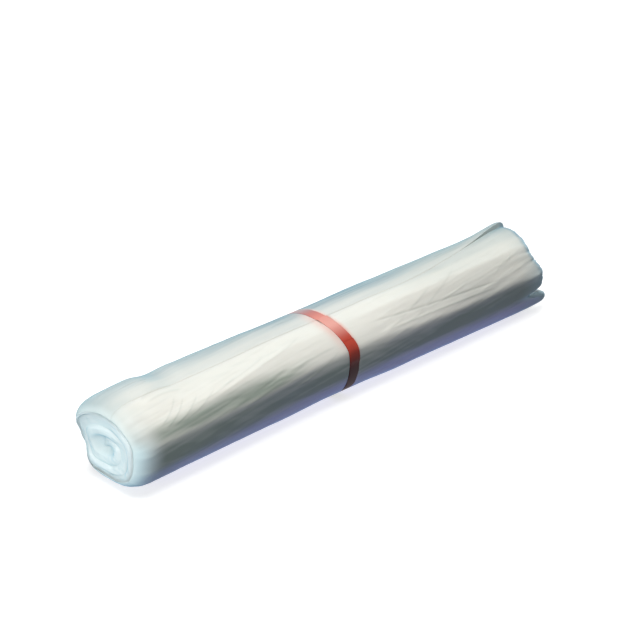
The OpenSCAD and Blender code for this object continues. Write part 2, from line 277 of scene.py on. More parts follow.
def proud(x, s):
    """Height of the outer turn, s turns inwards from its tail edge, with the lifted far corner."""
    lifted = rise((x - HALF_L + FLAP_L) / FLAP_L) * rise(1 - s / FLAP_TURN)
    return TAIL_T * np.maximum(0, 1 - s) * rise(s / TAIL_SOFT + TAIL_LEAST) + FLAP_LIFT * lifted


def section(x, t, off):
    """Point (y, z) of the section at angle t: a superellipse moved off along its own normal, then
    turned by the section's lean and set on the axis."""
    c, d = cos_deg(t), sin_deg(t)
    e = 2 / along(x, END_SQUARE, SQUARENESS, END_SQUARE)
    w = along(x, NEAR_W, ROLL_W, FAR_W)
    gy = signed_pow(c, 2 - e) / w
    gz = signed_pow(d, 2 - e) / ROLL_H
    g = np.hypot(gy, gz)
    y = w / 2 * signed_pow(c, e) + off * gy / g
    z = ROLL_H / 2 * signed_pow(d, e) + off * gz / g
    a = along(x, LEAN_NEAR, (LEAN_NEAR + LEAN_FAR) / 2, LEAN_FAR)
    return (
        along(x, NEAR_SHIFT, 0, 0) + y * cos_deg(a) - z * sin_deg(a),
        AXIS_Z + y * sin_deg(a) + z * cos_deg(a),
    )


def outline(x, s, inset, floor):
    """Point (y, z) of the film, s turns inwards from the tail edge: the section at that angle, with
    its swelling and outer turn, less the inset, and the underside pressed flat on the floor."""
    t = tail_angle(x) - 360 * s
    y, z = section(x, t, swelling(x, t) + proud(x, s) - inset)
    return y, np.maximum(z, floor)


def near_reach(t):
    """Outward reach of the film's edge on the near end: the upper back lobe, less the dip below."""
    return LOBE_OUT * hump(t, NEAR_LOBE_PLACE) - NEAR_DIP * hump(t, NEAR_DIP_PLACE)


def far_reach(t):
    """Outward reach of the film's edge on the far end: the tongue, the notch and the upper fall,
    with the fine raggedness of torn film."""
    return (
        RAGGED_H * lattice_noise(0 * t, t / 360, 1, RAGGED_COUNT, RAGGED_SEED)
        + TONGUE_L * hump(t, TONGUE_PLACE)
        - NOTCH_D * hump(t, NOTCH_PLACE)
        - FAR_FALL * hump(t, FAR_FALL_PLACE)
    )


def reach(side, t):
    """Outward reach of the film's edge on the near end, side -1, or the far end, side 1."""
    return near_reach(t) if side < 0 else far_reach(t)


def lip_inset(side):
    """How far an end's lip lies inside the full section."""
    return NEAR_INSET if side < 0 else FAR_INSET


def follow(x):
    """Share of an end's reach that the body follows, from 0 inside the end to 1 at its lip."""
    return rise((np.abs(x) - HALF_L + REACH_L) / (REACH_L - END_SLACK - RIM_DROP))


def streaks(x, t, seed, twist, rows, cols):
    """Fine lengthways wrinkles: lattice noise stretched along the roll and twisted round it."""
    u = (x + HALF_L) / ROLL_L
    v = (t + twist * x) / 360
    return lattice_noise(u, v, rows, cols, seed)


def layered(x, t, layers, plain=0.0):
    """A plain level plus layers of streaks, each as (share, seed, twist, rows, cols)."""
    total = plain
    for share, seed, twist, rows, cols in layers:
        total = total + share * streaks(x, t, seed, twist, rows, cols)
    return total


# Fine wrinkles of the outer turn, as layers of streaks with their heights, and the stretch beside
# the band where they fade
WRINKLES = ((0.05, 11, 0.4, 30, 120), (0.10, 12, 0.35, 14, 48), (0.04, 13, -0.2, 60, 40))
WRINKLE_L = 14
# Puckers at the lips: their height, their reach along the roll and their layer of streaks
PUCKER_H, PUCKER_L, PUCKERS = 0.35, 26, (14, 0, 10, 56)

# Creases of the outer turn: (x, t) of both ends, bow in degrees, half width in degrees, height, and
# the share of a crease over which each of its ends fades
CREASE_FADE = 0.2
CREASES = (
    (-130, 140, -112, 106, 4, 1.3, 0.15),
    (-128, 146, -108, 112, 5, 1.3, 0.17),
    (-124, 148, -100, 118, 5, 1.3, 0.14),
    (-118, 148, -88, 120, 4, 1.2, 0.10),
    (-132, 98, -108, 96, -4, 1.4, 0.13),
    (-130, 103, -104, 104, -3, 1.4, 0.12),
    (-104, 132, -72, 118, 3, 1.4, 0.10),
    (-90, 126, -50, 108, 3, 1.4, 0.09),
    (-64, 122, -26, 104, 3, 1.4, 0.10),
    (-92, 163, -42, 134, 3, 2.2, 0.12),
    (-80, 166, -30, 138, 3, 2.0, 0.10),
    (-66, 156, -10, 140, -5, 2.0, 0.12),
    (-44, 172, -12, 146, 2, 1.6, 0.10),
    (6, 126, 122, 150, 1, 1.8, -0.16),
    (14, 148, 120, 158, -2, 1.8, 0.14),
    (20, 150, 70, 110, 3, 2.0, 0.10),
    (44, 150, 92, 98, 3, 2.0, 0.08),
    (60, 142, 94, 128, 2, 1.6, 0.10),
    (112, 122, 132, 112, 9, 1.8, 0.09),
    (112, 136, 130, 122, -6, 1.8, 0.07),
)


def crease_field(x, t):
    """Creases: along each line from end to end, a ridge with the shape of a bell across it."""
    total = np.zeros(np.broadcast(x, t).shape)
    for x0, t0, x1, t1, bow, half_w, height in CREASES:
        f = (x - x0) / (x1 - x0)
        line = t0 + (t1 - t0) * f + bow * np.sin(np.pi * np.clip(f, 0, 1))
        d = turn(t, line) / half_w
        fade = rise(f / CREASE_FADE) * rise((1 - f) / CREASE_FADE)
        total += height * fade * np.exp(-d * d)
    return total


def film_relief(x, t):
    """Outward relief of the outer turn on top of the solid's form: fine wrinkles and creases away
    from the band, and puckers that rise towards the lips."""
    free = rise(np.abs(away(x)) / WRINKLE_L)
    ends = rise((np.abs(x) - HALF_L + PUCKER_L) / PUCKER_L)
    pucker = PUCKER_H * ends * streaks(x, t, *PUCKERS)
    return free * (layered(x, t, WRINKLES) + crease_field(x, t)) + pucker


def body_stations():
    """Places along the body and their insets: fine steps, extra ones at the mouth and floor of the
    band's groove, and at each end an arc of equal angles."""
    near_x = -HALF_L + END_SLACK + RIM_DROP
    near_flank, far_flank = near_x + NEAR_ROUND, -near_x - FAR_ROUND
    floor_half = TAPE_W / 2 + TAPE_GAP
    mouth_half = floor_half + GROOVE_FLANK
    a = np.arange(ROUND_STEPS) / ROUND_STEPS * ROUND_ARC
    bend = sin_deg(a) / sin_deg(ROUND_ARC)
    bend_in = (1 - cos_deg(a)) / (1 - cos_deg(ROUND_ARC))
    left = np.arange(near_flank + BODY_STEP, TAPE_X - mouth_half, BODY_STEP)
    offsets = [-mouth_half, -floor_half, -TAPE_W / 4, 0, TAPE_W / 4, floor_half, mouth_half]
    groove = TAPE_X + np.array(offsets)
    groove_in = GROOVE_D * np.array([0, 1, 1, 1, 1, 1, 0])
    right = np.arange(TAPE_X + mouth_half + BODY_STEP / 2, far_flank - BODY_STEP / 2, BODY_STEP)
    near_end, far_end = near_flank - NEAR_ROUND * bend[::-1], far_flank + FAR_ROUND * bend
    x = np.concatenate([near_end, left, groove, right, far_end])
    near_in, far_in = NEAR_INSET * bend_in[::-1], FAR_INSET * bend_in
    inset = np.concatenate([near_in, 0 * left, groove_in, 0 * right, far_in])
    return x, inset


def lip_line(side):
    """Line between the body and an end's winding, once round from the tail edge to its foot."""
    s = np.arange(AROUND + 1) / AROUND
    return wound(side, s, np.zeros_like(s))


def body_rings():
    """Rings of the body from the near lip to the far lip, and each point's place on the roll. A
    ring is skewed beside the band, and pushed outwards by the share of the end's reach there."""
    x, inset = body_stations()
    s = np.arange(AROUND + 1)[None, :] / AROUND
    x = x[:, None] + 0 * s
    t = tail_angle(x) - 360 * s
    relief = film_relief(x, t) * (1 - inset[:, None] / np.where(x < 0, NEAR_INSET, FAR_INSET))
    in_groove = np.abs(x - TAPE_X) < TAPE_W / 2 + TAPE_GAP + HAIR
    floor = np.where(in_groove, inset[:, None], 0)
    y, z = outline(x, s, inset[:, None] - relief, floor)
    side_reach = np.where(x < 0, near_reach(t), far_reach(t))
    skew = SKEW_SLOPE * (1 - rise(np.abs(away(x)) / SQUARE_L))
    shown = np.stack([x + np.sign(x) * follow(x) * side_reach - y * skew, y, z], axis=-1)
    rings = np.concatenate([lip_line(-1)[None], shown, lip_line(1)[None]])
    places_x = np.concatenate([x[:1] * 0 - HALF_L, x, x[:1] * 0 + HALF_L])
    places_t = np.concatenate([t[:1], t, t[-1:]])
    return rings, places_x, places_t


def eye(t):
    """The slit at the middle of the winding, a tilted flat ellipse, as (y, z)."""
    y, z = EYE_W * cos_deg(t), EYE_H * sin_deg(t)
    return (
        y * cos_deg(EYE_TILT) - z * sin_deg(EYE_TILT),
        EYE_Z + y * sin_deg(EYE_TILT) + z * cos_deg(EYE_TILT),
    )


def depth_share(s):
    """Share of the way from the lip to the slit, s turns inwards from the tail edge."""
    return np.maximum(0, s - 1) / END_TURNS


def seam_point(side, s):
    """Point (y, z) of the line between two bundles: the lip's outline blended into the slit."""
    x0 = side * HALF_L + 0 * s
    t = tail_angle(x0) - 360 * s
    f = depth_share(s)
    y, z = outline(x0, s, lip_inset(side), lip_inset(side))
    ey, ez = eye(t)
    return (1 - f) * y + f * ey, (1 - f) * z + f * ez


def end_sink(side):
    """How deep an end's winding lies inside its lip."""
    return 0 if side < 0 else FAR_SINK


def wound(side, s, u):
    """Point of an end's winding, s turns inwards and u across a bundle: a spiral of soft crests.
    Each bundle is split by its film layers, and shallow pleats run across them."""
    t = tail_angle(side * HALF_L + 0 * s) - 360 * s
    f = (1 - u) * depth_share(s) + u * depth_share(s + 1)
    y0, z0 = seam_point(side, s)
    y1, z1 = seam_point(side, s + 1)
    y, z = (1 - u) * y0 + u * y1, (1 - u) * z0 + u * z1
    grown = rise(s / GROW_TURN)
    outer = np.where(u < 0.5, rise((1 - s) / RIM_TURN), 0)
    crest = grown * (1 - (1 - sin_deg(180 * u)) ** (CREST_ROUND + outer * (1 - CREST_ROUND)))
    rim = RIM_DROP + (BUNDLE_RELIEF - RIM_DROP) * rise((s - RIM_TO) / RIM_SOFT)
    drop = np.where(u < 0.5, rim, BUNDLE_RELIEF) * (1 - crest)
    puff = PUFF_H * crest * sin_deg(PUFF_COUNTS[0] * t + PUFF_COUNTS[1] * 360 * s)
    fine = crest * layer_relief(side, s, u)
    uneven = reach(side, t) * (1 - f) ** REACH_FADES[0 if side < 0 else 1]
    sunk = MIDDLE_SINK * f * f + end_sink(side) * rise(f / SINK_SHARE)
    out = uneven + puff + fine - drop - sunk
    return np.stack([side * (HALF_L - END_SLACK + out), y, z], axis=-1)


# Film layers on an end: layers in a bundle, their relief, its level and strength, how far they
# meander, and the pleats. A grid gives the lattice's rows inwards and columns round a turn.
LAYERS = 5
LAYER_H, LAYER_LEVEL, LAYER_STRENGTH, STRENGTH_GRID = 0.13, 0.6, (0.6, 0.4), (12, 18)
LAYER_MEANDER, MEANDER_GRID = 0.9, (8, 14)
PLEAT_H, PLEAT_FADE, PLEAT_GRID = 0.22, 0.4, (14, 34)
NEAR_SEED, FAR_SEED = 40, 60


def layer_relief(side, s, u):
    """Edges of single film layers: rounded crests across the bundle that meander and fade, and
    radial pleats of lattice noise that run across them."""
    seed = NEAR_SEED if side < 0 else FAR_SEED
    depth = (s + u) / (END_TURNS + 1)
    round_at = s % 1
    meander = LAYER_MEANDER * lattice_noise(depth, round_at, *MEANDER_GRID, seed)
    noise = lattice_noise(depth, round_at, *STRENGTH_GRID, seed + 1)
    strength = LAYER_STRENGTH[0] + LAYER_STRENGTH[1] * noise
    crests = np.abs(np.sin(np.pi * (LAYERS * u + meander)))
    pleats = lattice_noise(depth, round_at, *PLEAT_GRID, seed + 2)
    pleated = PLEAT_H * pleats * (1 - PLEAT_FADE * depth)
    return LAYER_H * strength * (crests - LAYER_LEVEL) + pleated


def new_piece(name, points, faces, material, node, values, flat=()):
    """A closed mesh from points in millimetres and faces as rows of indices, with its faces turned
    outwards: if the volume under them comes out negative, every face is reversed. values holds the
    attributes of its points. All faces are shaded smooth but those that flat lists."""
    tris = np.concatenate([f[:, [0, k, k + 1]] for f in faces for k in range(1, f.shape[1] - 1)])
    a, b, c = (points[tris[:, k]] for k in range(3))
    if np.einsum("ij,ij->i", a, np.cross(b, c)).sum() < 0:
        faces = [f[:, ::-1] for f in faces]
    mesh = bpy.data.meshes.new(name)
    mesh.from_pydata((points * MM).tolist(), [], [row for f in faces for row in f.tolist()])
    smooth = np.ones(len(mesh.polygons), bool)
    smooth[list(flat)] = False
    mesh.polygons.foreach_set("use_smooth", smooth)
    for label, array in values.items():
        own = mesh.attributes.new(label, "FLOAT", "POINT")
        own.data.foreach_set("value", array.astype(np.float32))
    mesh.validate()
    mesh.update()
    mesh.materials.append(material)
    piece = bpy.data.objects.new(name, mesh)
    bpy.context.scene.collection.objects.link(piece)
    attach(piece, "root")
    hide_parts(node)
    return piece


def ring_faces(rows, cols):
    """Faces between rows of cols points that close round, for ids counted row by row."""
    j, i = np.meshgrid(np.arange(rows - 1), np.arange(cols), indexing="ij")
    n = (i + 1) % cols
    quad = np.stack([j * cols + i, (j + 1) * cols + i, (j + 1) * cols + n, j * cols + n], axis=-1)
    return quad.reshape(-1, 4)


def fan_faces(loop, middle):
    """Triangles from a closed loop of ids to one middle id."""
    return np.stack([loop, np.roll(loop, -1), np.full(len(loop), middle)], axis=-1)


def drawn_in(loop, middle, shares, shift):
    """Loops between a loop and a point: each goes a share of the way in (y, z), moved along X."""
    rings = []
    for share, dx in zip(shares, shift):
        ring = loop + (middle - loop) * share
        ring[:, 0] = loop[:, 0] + dx
        rings.append(ring)
    return np.array(rings)


# Tints of the film, most of them painted shade and light, over places along the roll and angles
# round it
# Ends, whose rounding is painted in shade and light: reach of the near and far one, the far one's
# share, and how much less there is on top
NEAR_END_REACH, FAR_END_REACH, FAR_END_WEIGHT = 22.0, 24.0, 0.6
END_TOP_SHARE, END_TOP_PLACE = 0.45, (112, 55)
# Angles of the ends' lower front, which is painted light, and reach of the near rim's edge, which
# is painted lighter, and of the far rim, which is painted dark as shade
LIP_LOW_FROM, LIP_LOW_SOFT, LIP_LOW_TO = 142.0, 30.0, 300.0
LIP_EDGE_L, LIP_EDGE_SOFT, DUSK_L, DUSK_SOFT = 7.0, 7.0, 9.5, 4.5
# Angles and share of the shade near the floor
UNDER_FROM, UNDER_SOFT, UNDER_TO, UNDER_SHARE = 186.0, 18.0, 310.0, 0.8
# Strip along the top of the back, where the outer turn lies loose and the film is painted darker
# and cooler as shade: its angles, the shares of its quick and slow climb, what is left of it at
# the ends, and its fibres
STRIP_EDGE, STRIP_STEP, STRIP_TOP, STRIP_BACK = 99.0, 9.0, 68.0, 10.0
STRIP_ONSET, STRIP_CLIMB = 0.35, 0.65
STRIP_ENDS, STRIP_L = 0.6, 110.0
STRIP_PLAIN, STRIP_FIBRES = 0.88, ((0.2, 21, 0.1, 12, 150), (0.12, 22, 0, 8, 40))
# Painted shade on the film below the top of the near half and on its front: its stretch from the
# near end, growth and end, and its angles
SHADE_FROM, SHADE_GROW, SHADE_END = 7.0, 15.0, 50.0
SHADE_PLACE, FRONT_PLACE = (151, 24), (184, 36)
FRONT_FAR_REACH, FRONT_FAR_L = 25.0, 60.0
# Share of painted shade in the creases
CREASE_SHADE = 1.3
# Painted shade over the far half: its share, where it begins and its length
FAR_SHADE, FAR_SHADE_FROM, FAR_SHADE_L = 0.16, 20.0, 80.0
# Fibres of the film in its tint: their share in the painted shade, and their least share elsewhere
FIBRE_SHARE, FIBRE_LEAST = 0.2, 0.08
FIBRES = ((1.0, 23, 0.25, 12, 120), (0.6, 24, -0.35, 26, 90))
# Reach of the tape's red in the film on its near and far side, and its place as (angle, reach)
BLUSH_NEAR_L, BLUSH_FAR_L, BLUSH_PLACE = 4.0, 1.2, (112, 60)


def end_share(x, t):
    """How near a place lies to an end of the roll: 0 on the body and 1 at the lip, less on top."""
    near = rise((-x - HALF_L + NEAR_END_REACH) / NEAR_END_REACH)
    far = FAR_END_WEIGHT * rise((x - HALF_L + FAR_END_REACH) / FAR_END_REACH)
    return np.maximum(near, far) * (1 - END_TOP_SHARE * hump(t, END_TOP_PLACE))


def lowness(t):
    """1 on the lower front of an end's rounding, which is painted light, as light from beside the
    end gathers there.
    """
    return rise((t - LIP_LOW_FROM) / LIP_LOW_SOFT) * rise((LIP_LOW_TO - t) / LIP_LOW_SOFT)


def shade_below(t):
    """1 on the low front and the underside, which the floor's bluish shade tints."""
    return UNDER_SHARE * rise((t - UNDER_FROM) / UNDER_SOFT) * rise((UNDER_TO - t) / UNDER_SOFT)


def looseness(x, t):
    """Share of painted shade in the strip along the top of the back, where the film lies loose,
    from
    0 to 1: a quick and a slow climb from its edge, a fall towards the back, less at the ends, and
    fibres."""
    onset = STRIP_ONSET * rise((STRIP_EDGE - t) / STRIP_STEP)
    slow_edge = STRIP_EDGE - STRIP_STEP
    climb = STRIP_CLIMB * rise((slow_edge - t) / (slow_edge - STRIP_TOP))
    strip = (onset + climb) * rise((t - STRIP_BACK) / (STRIP_TOP - STRIP_BACK))
    strip = strip * (1 - (1 - STRIP_ENDS) * rise(np.abs(x) / STRIP_L))
    return np.clip(strip * layered(x, t, STRIP_FIBRES, STRIP_PLAIN), 0, 1)


def front_shading(x, t):
    """Share of painted shade, from 0 to 1: a hump on the near half below the top and one on the
    front, which narrows on the far half. Fibres and the creases' painted shade add to it, and so
    does the far half as a whole, painted darker."""
    begun = rise((x + HALF_L - SHADE_FROM) / SHADE_GROW)
    upper = begun * rise(-away(x) / SHADE_END) * hump(t, SHADE_PLACE)
    narrowed = (FRONT_PLACE[1] - FRONT_FAR_REACH) * rise((x - TAPE_X) / FRONT_FAR_L)
    front = rise(1 - np.abs(turn(t, FRONT_PLACE[0])) / (FRONT_PLACE[1] - narrowed))
    held = np.maximum(upper, front * begun * rise((HALF_L - x) / SHADE_FROM))
    fibres = layered(x, t, FIBRES)
    # Painted shade along the fibres and in the creases
    lines = FIBRE_LEAST * np.maximum(0, fibres) + CREASE_SHADE * np.abs(crease_field(x, t))
    # The far half painted darker as shade
    lines = lines + FAR_SHADE * rise((x - FAR_SHADE_FROM) / FAR_SHADE_L)
    return np.clip(held * (1 + FIBRE_SHARE * fibres) + lines, 0, 1)


def blush(x, y, t):
    """How much the tape's red shows in the film beside it: a bell over the way from its edge."""
    side = x - TAPE_X + y * SKEW_SLOPE
    off = np.maximum(0, np.abs(side) - TAPE_W / 2) / np.where(side < 0, BLUSH_NEAR_L, BLUSH_FAR_L)
    return np.exp(-off ** 2) * hump(t, BLUSH_PLACE)


# Hidden cones that close the body under the windings: depth of their tips, and of a loop on them
# that lies a share of the way in
CONE_L, CONE_SHARE, CONE_STEP = 18, 0.3, 6
# Slit at the middle of a winding: shares of its loops on the way in, their bend and their fall
SLIT_SHARES, SLIT_BEND, SLIT_FALL = np.linspace(0.12, 0.9, 8), 1.4, 0.8
# Hidden back of a winding: depth of its tip, share by which each end's back flares outwards under
# the rounding, depths of its loops, and the last loop's share of the way in
BACK_L, BACK_FLARES, BACK_DEPTHS, BACK_SHARE = 30, (0.08, 0.03), (4, 14, 22), 0.3


def film_body(material):
    """The outer turn from lip to lip, closed inside by a small cone under each winding."""
    rings, places_x, places_t = body_rings()
    near_mid = np.array([-HALF_L + CONE_L, 0, AXIS_Z])
    far_mid = np.array([HALF_L - CONE_L - FAR_SINK, 0, AXIS_Z])
    inner_near = drawn_in(rings[0], near_mid, (CONE_SHARE,), (CONE_STEP,))
    inner_far = drawn_in(rings[-1], far_mid, (CONE_SHARE,), (-CONE_STEP - FAR_SINK,))
    rings = np.concatenate([inner_near, rings, inner_far])
    rows, cols = rings.shape[:2]
    points = np.concatenate([rings.reshape(-1, 3), [near_mid, far_mid]])
    first, last = np.arange(cols), (rows - 1) * cols + np.arange(cols)
    faces = [
        ring_faces(rows, cols),
        fan_faces(first[::-1], rows * cols),
        fan_faces(last, rows * cols + 1),
    ]
    px = np.concatenate([places_x[:1], places_x, places_x[-1:]]).ravel()
    pt = np.concatenate([places_t[:1], places_t, places_t[-1:]]).ravel()
    py = rings[..., 1].ravel()
    values = {
        # Painted shade of the strip over the back
        "loose": np.append(looseness(px, pt % 360), [0, 0]),
        # Ends, where the rounding is painted in shade and light, and light goes deeper into the
        # film
        "ends": np.append(end_share(px, pt), [1, 1]),
        "low": np.append(lowness(pt % 360), [0, 0]),
        "under": np.append(shade_below(pt % 360), [0, 0]),
        # The near lip's last millimetres, painted lighter to run into the lit end face
        "edge": np.append(rise((LIP_EDGE_L - HALF_L - px) / LIP_EDGE_SOFT), [1, 1]),
        # The far lip, painted dark as shade
        "dusk": np.append(rise((px - HALF_L + DUSK_L) / DUSK_SOFT), [1, 1]),
        # Painted shade below the top, on the front, in the creases and over the far half
        "hollow": np.append(front_shading(px, pt % 360), [0, 0]),
        "blush": np.append(blush(rings[..., 0].ravel(), py, pt), [0, 0]),
    }
    tail_wall = np.arange(rows - 1) * cols + cols - 1
    hidden = np.concatenate([np.arange(cols), np.arange((rows - 2) * cols, (rows + 1) * cols)])
    flat = np.concatenate([tail_wall, hidden])
    return new_piece("film_body", points, faces, material, "bag_roll", values, flat)


def winding(name, side, material):
    """An end's winding: the spiral strip of bundles, the hollow at its middle and a hidden back."""
    last = AROUND * END_TURNS
    i, p = np.meshgrid(np.arange(last + 1), np.arange(ACROSS), indexing="ij")
    strip = wound(side, i / AROUND, p / ACROSS).reshape(-1, 3)
    tail = np.arange(last + 1, last + AROUND + 1) / AROUND
    inner = wound(side, tail, 0 * tail)
    points = np.concatenate([strip, inner])

    def wound_id(i, p):
        """Id of a point: a bundle's inner edge is the outer edge of the one a turn further in."""
        i, p = np.where(p == ACROSS, i + AROUND, i), np.where(p == ACROSS, 0, p)
        return np.where(i <= last, i * ACROSS + p, (last + 1) * ACROSS + i - last - 1)

    i, p = np.meshgrid(np.arange(last), np.arange(ACROSS), indexing="ij")
    quads = np.stack(
        [wound_id(i, p), wound_id(i + 1, p), wound_id(i + 1, p + 1), wound_id(i, p + 1)], axis=-1
    ).reshape(-1, 4)
    turn_ids = np.arange(AROUND + 1)
    seam_ids = np.arange(ACROSS - 1, 0, -1)

    def loop_from(start):
        """Ids once round the turn that begins at start, then back across the bundle there."""
        first = wound_id(start + turn_ids, 0 * turn_ids)
        return np.concatenate([first, wound_id(0 * seam_ids + start, seam_ids)])

    rim, lip = loop_from(last), loop_from(0)
    count = len(points)
    eye_mid = np.array([side * (HALF_L - END_SLACK - end_sink(side) - EYE_DEPTH), 0, EYE_Z])
    slit_in = -side * EYE_DEPTH * SLIT_FALL * SLIT_SHARES
    hollow = drawn_in(points[rim], eye_mid, SLIT_SHARES ** SLIT_BEND, slit_in)
    back_mid = np.array([side * (HALF_L - BACK_L - end_sink(side)), 0, AXIS_Z])
    flare = BACK_FLARES[0 if side < 0 else 1]
    deep = (*BACK_DEPTHS[:-1], BACK_DEPTHS[-1] + end_sink(side))
    back = drawn_in(points[lip], back_mid, (-flare, -flare, BACK_SHARE), [-side * d for d in deep])
    size = len(rim)
    faces = [quads]
    rim_ids = [rim] + [count + k * size + np.arange(size) for k in range(len(hollow))]
    base = count + hollow.shape[0] * size
    lip_ids = [lip] + [base + k * size + np.arange(size) for k in range(len(back))]
    eye_id = base + len(back) * size
    for ids in (rim_ids, [loop[::-1] for loop in lip_ids]):
        for a, b in zip(ids, ids[1:]):
            faces.append(np.stack([a, np.roll(a, -1), np.roll(b, -1), b], axis=-1))
    faces.append(fan_faces(rim_ids[-1], eye_id))
    faces.append(fan_faces(lip_ids[-1][::-1], eye_id + 1))
    points = np.concatenate(
        [points, hollow.reshape(-1, 3), back.reshape(-1, 3), [eye_mid], [back_mid]]
    )
    ends = np.ones(len(points))
    shown = len(quads) + len(hollow) * size
    back_end = shown + len(back) * size
    fan = np.arange(back_end + size, back_end + 2 * size)
    hidden = np.concatenate([np.arange(shown, back_end), fan])
    return new_piece(name, points, faces, material, "bag_roll", {"ends": ends}, hidden)


# Shades of the tape: a painted highlight on top, a painted grey sheen over its top back, and
# painted shade in its groove below
HIGHLIGHT_PLACE, GREY_SHEEN_PLACE = (105, 34), (68, 26)
DARK_FROM, DARK_GROW, DARK_TO = 142.0, 42.0, 300.0
# Profile of the tape: its crown, the drop of its edges and that drop's power
CROWN_H, EDGE_DROP, EDGE_POWER = 0.04, 0.05, 8
# Turns after which the tape climbs on its own start, and where it bridges the film's tail edge
LAP_FROM, LAP_SPAN = 0.985, 0.02
BRIDGE_FROM, BRIDGE_SPAN = 0.965, 0.035
# Wander of the tape along the roll: height, steps over its length, columns and seed
WANDER_H, WANDER_STEPS, WANDER_COLS, WANDER_SEED = 0.12, 40, 3, 31
# Share of the tape's own height that is left where the roll rests on it
PRESSED_SHARE = 0.5


def tape_offset(q):
    """Place along the tape, q turns from its start: angle round the section, lift on the lap."""
    start = TAPE_END_AT + TAPE_LAP / GIRTH * 360
    t = start - 360 * q
    lift = (TAPE_T + TAPE_GAP) * rise((q - LAP_FROM) / LAP_SPAN)
    return t, lift


def tape_band(material):
    """The tape: a thin rounded profile carried once round the waist and over its own start."""
    turns = 1 + TAPE_LAP / GIRTH
    q = np.linspace(0, turns, TAPE_STEPS)[:, None]
    half = TAPE_W / 2
    side_u = np.linspace(-1, 1, TAPE_ACROSS)
    crown = CROWN_H * (1 - side_u ** 2)
    u = np.concatenate([side_u, side_u[::-1]])
    top = TAPE_GAP + TAPE_T - EDGE_DROP * np.abs(side_u) ** EDGE_POWER + crown
    up = np.concatenate([top, 0 * side_u + TAPE_GAP])
    t, lift = tape_offset(q)
    s = ((tail_angle(TAPE_X) - t) / 360) % 1
    bridge = TAIL_T * rise((s - BRIDGE_FROM) / BRIDGE_SPAN) * s
    wander = WANDER_H * lattice_noise(q / turns, 0 * q, WANDER_STEPS, WANDER_COLS, WANDER_SEED)
    x = TAPE_X + u[None, :] * half + wander
    off = swelling(TAPE_X, t) + proud(TAPE_X, s) + bridge - GROOVE_D + lift + up[None, :]
    y, z = section(TAPE_X + 0 * off, t + 0 * off, off)
    z = np.maximum(z, up[None, :] * PRESSED_SHARE + lift)
    rings = np.stack([x - y * SKEW_SLOPE, y, z], axis=-1)
    rows, cols = rings.shape[:2]
    ends = rings[[0, -1]].mean(axis=1)
    points = np.concatenate([rings.reshape(-1, 3), ends])
    angle = (t + 0 * off).ravel() % 360
    # Painted shade at the tape's foot, in its groove
    dark = rise((angle - DARK_FROM) / DARK_GROW) * rise((DARK_TO - angle) / DARK_GROW)
    values = {
        # Painted highlight on top
        "tape_highlight": np.append(hump(angle, HIGHLIGHT_PLACE), [0, 0]),
        # Painted grey sheen over the top back
        "tape_grey_sheen": np.append(hump(angle, GREY_SHEEN_PLACE), [0, 0]),
        "dark": np.append(dark, [0, 0]),
    }
    faces = [
        ring_faces(rows, cols),
        fan_faces(np.arange(cols)[::-1], rows * cols),
        fan_faces((rows - 1) * cols + np.arange(cols), rows * cols + 1),
    ]
    return new_piece("red_tape", points, faces, material, "tape_band", values)


def node(tree, kind, links=None, **settings):
    """A shader node with settings, and inputs that are set to a value or linked to an output."""
    made = tree.nodes.new(kind)
    for label, value in settings.items():
        setattr(made, label, value)
    for label, value in (links or {}).items():
        if isinstance(value, bpy.types.NodeSocket):
            tree.links.new(value, made.inputs[label])
        else:
            made.inputs[label].default_value = value
    return made


def blend(tree, share, low, high):
    """The colour that goes from low to high with share."""
    return node(tree, "ShaderNodeMix", {0: share, 6: low, 7: high}, data_type="RGBA").outputs[2]


def own_value(tree, name):
    """A value that the mesh carries at each point."""
    return node(tree, "ShaderNodeAttribute", attribute_name=name).outputs["Fac"]


def smooth_range(tree, value, start, stop, low, high):
    """low where value is below start, high where it is above stop, and a smooth step between."""
    limits = {0: value, 1: start, 2: stop, 3: low, 4: high}
    return node(tree, "ShaderNodeMapRange", limits, interpolation_type="SMOOTHSTEP").outputs[0]


def add_bump(tree, shader, height, strength):
    """A fine bump of the shader's normal, from a height between 0 and 1."""
    relief = {"Height": height, "Distance": BUMP_D_M, "Strength": strength}
    bump = node(tree, "ShaderNodeBump", relief)
    tree.links.new(bump.outputs[0], shader.inputs["Normal"])


def new_material(name):
    """A new node material, with its tree and its principled shader."""
    material = bpy.data.materials.new(name)
    material.use_nodes = True
    tree = material.node_tree
    return material, tree, tree.nodes["Principled BSDF"]


# Colours of the film, with tints painted on it as shade and light on its strip over the back, its
# ends, rims, front and underside, and the blush of the tape's red
FILM_WARM = (0.92, 0.82, 0.735, 1)
# Painted shade of the loose strip over the back
FILM_STRIP_SHADE = (0.36, 0.40, 0.42, 1)
# Painted shade on the ends' rounding, and painted light on its lower front
FILM_LIP, FILM_LIP_LOW = (0.42, 0.46, 0.46, 1), (0.85, 0.98, 1.0, 1)
# The windings' film, its own whiter colour painted lighter still for light through the layers, and
# the near rim's edge painted lighter
FILM_END, FILM_EDGE = (0.95, 0.94, 0.90, 1), (0.80, 0.81, 0.79, 1)
# The far rim, painted dark as shade
FILM_DUSK = (0.34, 0.41, 0.45, 1)
# Painted shade on the front, and the floor's bluish shade painted on the underside
FILM_FRONT_SHADE, FILM_UNDER = (0.36, 0.37, 0.31, 1), (0.58, 0.53, 0.68, 1)
FILM_BLUSH = (0.93, 0.58, 0.50, 1)
# Colours of the tape: its reds, its painted highlight, its painted grey sheen and its painted shade
TAPE_RED, TAPE_BRIGHT = (0.42, 0.05, 0.035, 1), (0.52, 0.07, 0.04, 1)
# Painted highlight on top, and painted grey sheen over the top back
TAPE_HIGHLIGHT, TAPE_GREY_SHEEN = (0.72, 0.34, 0.29, 1), (0.36, 0.28, 0.29, 1)
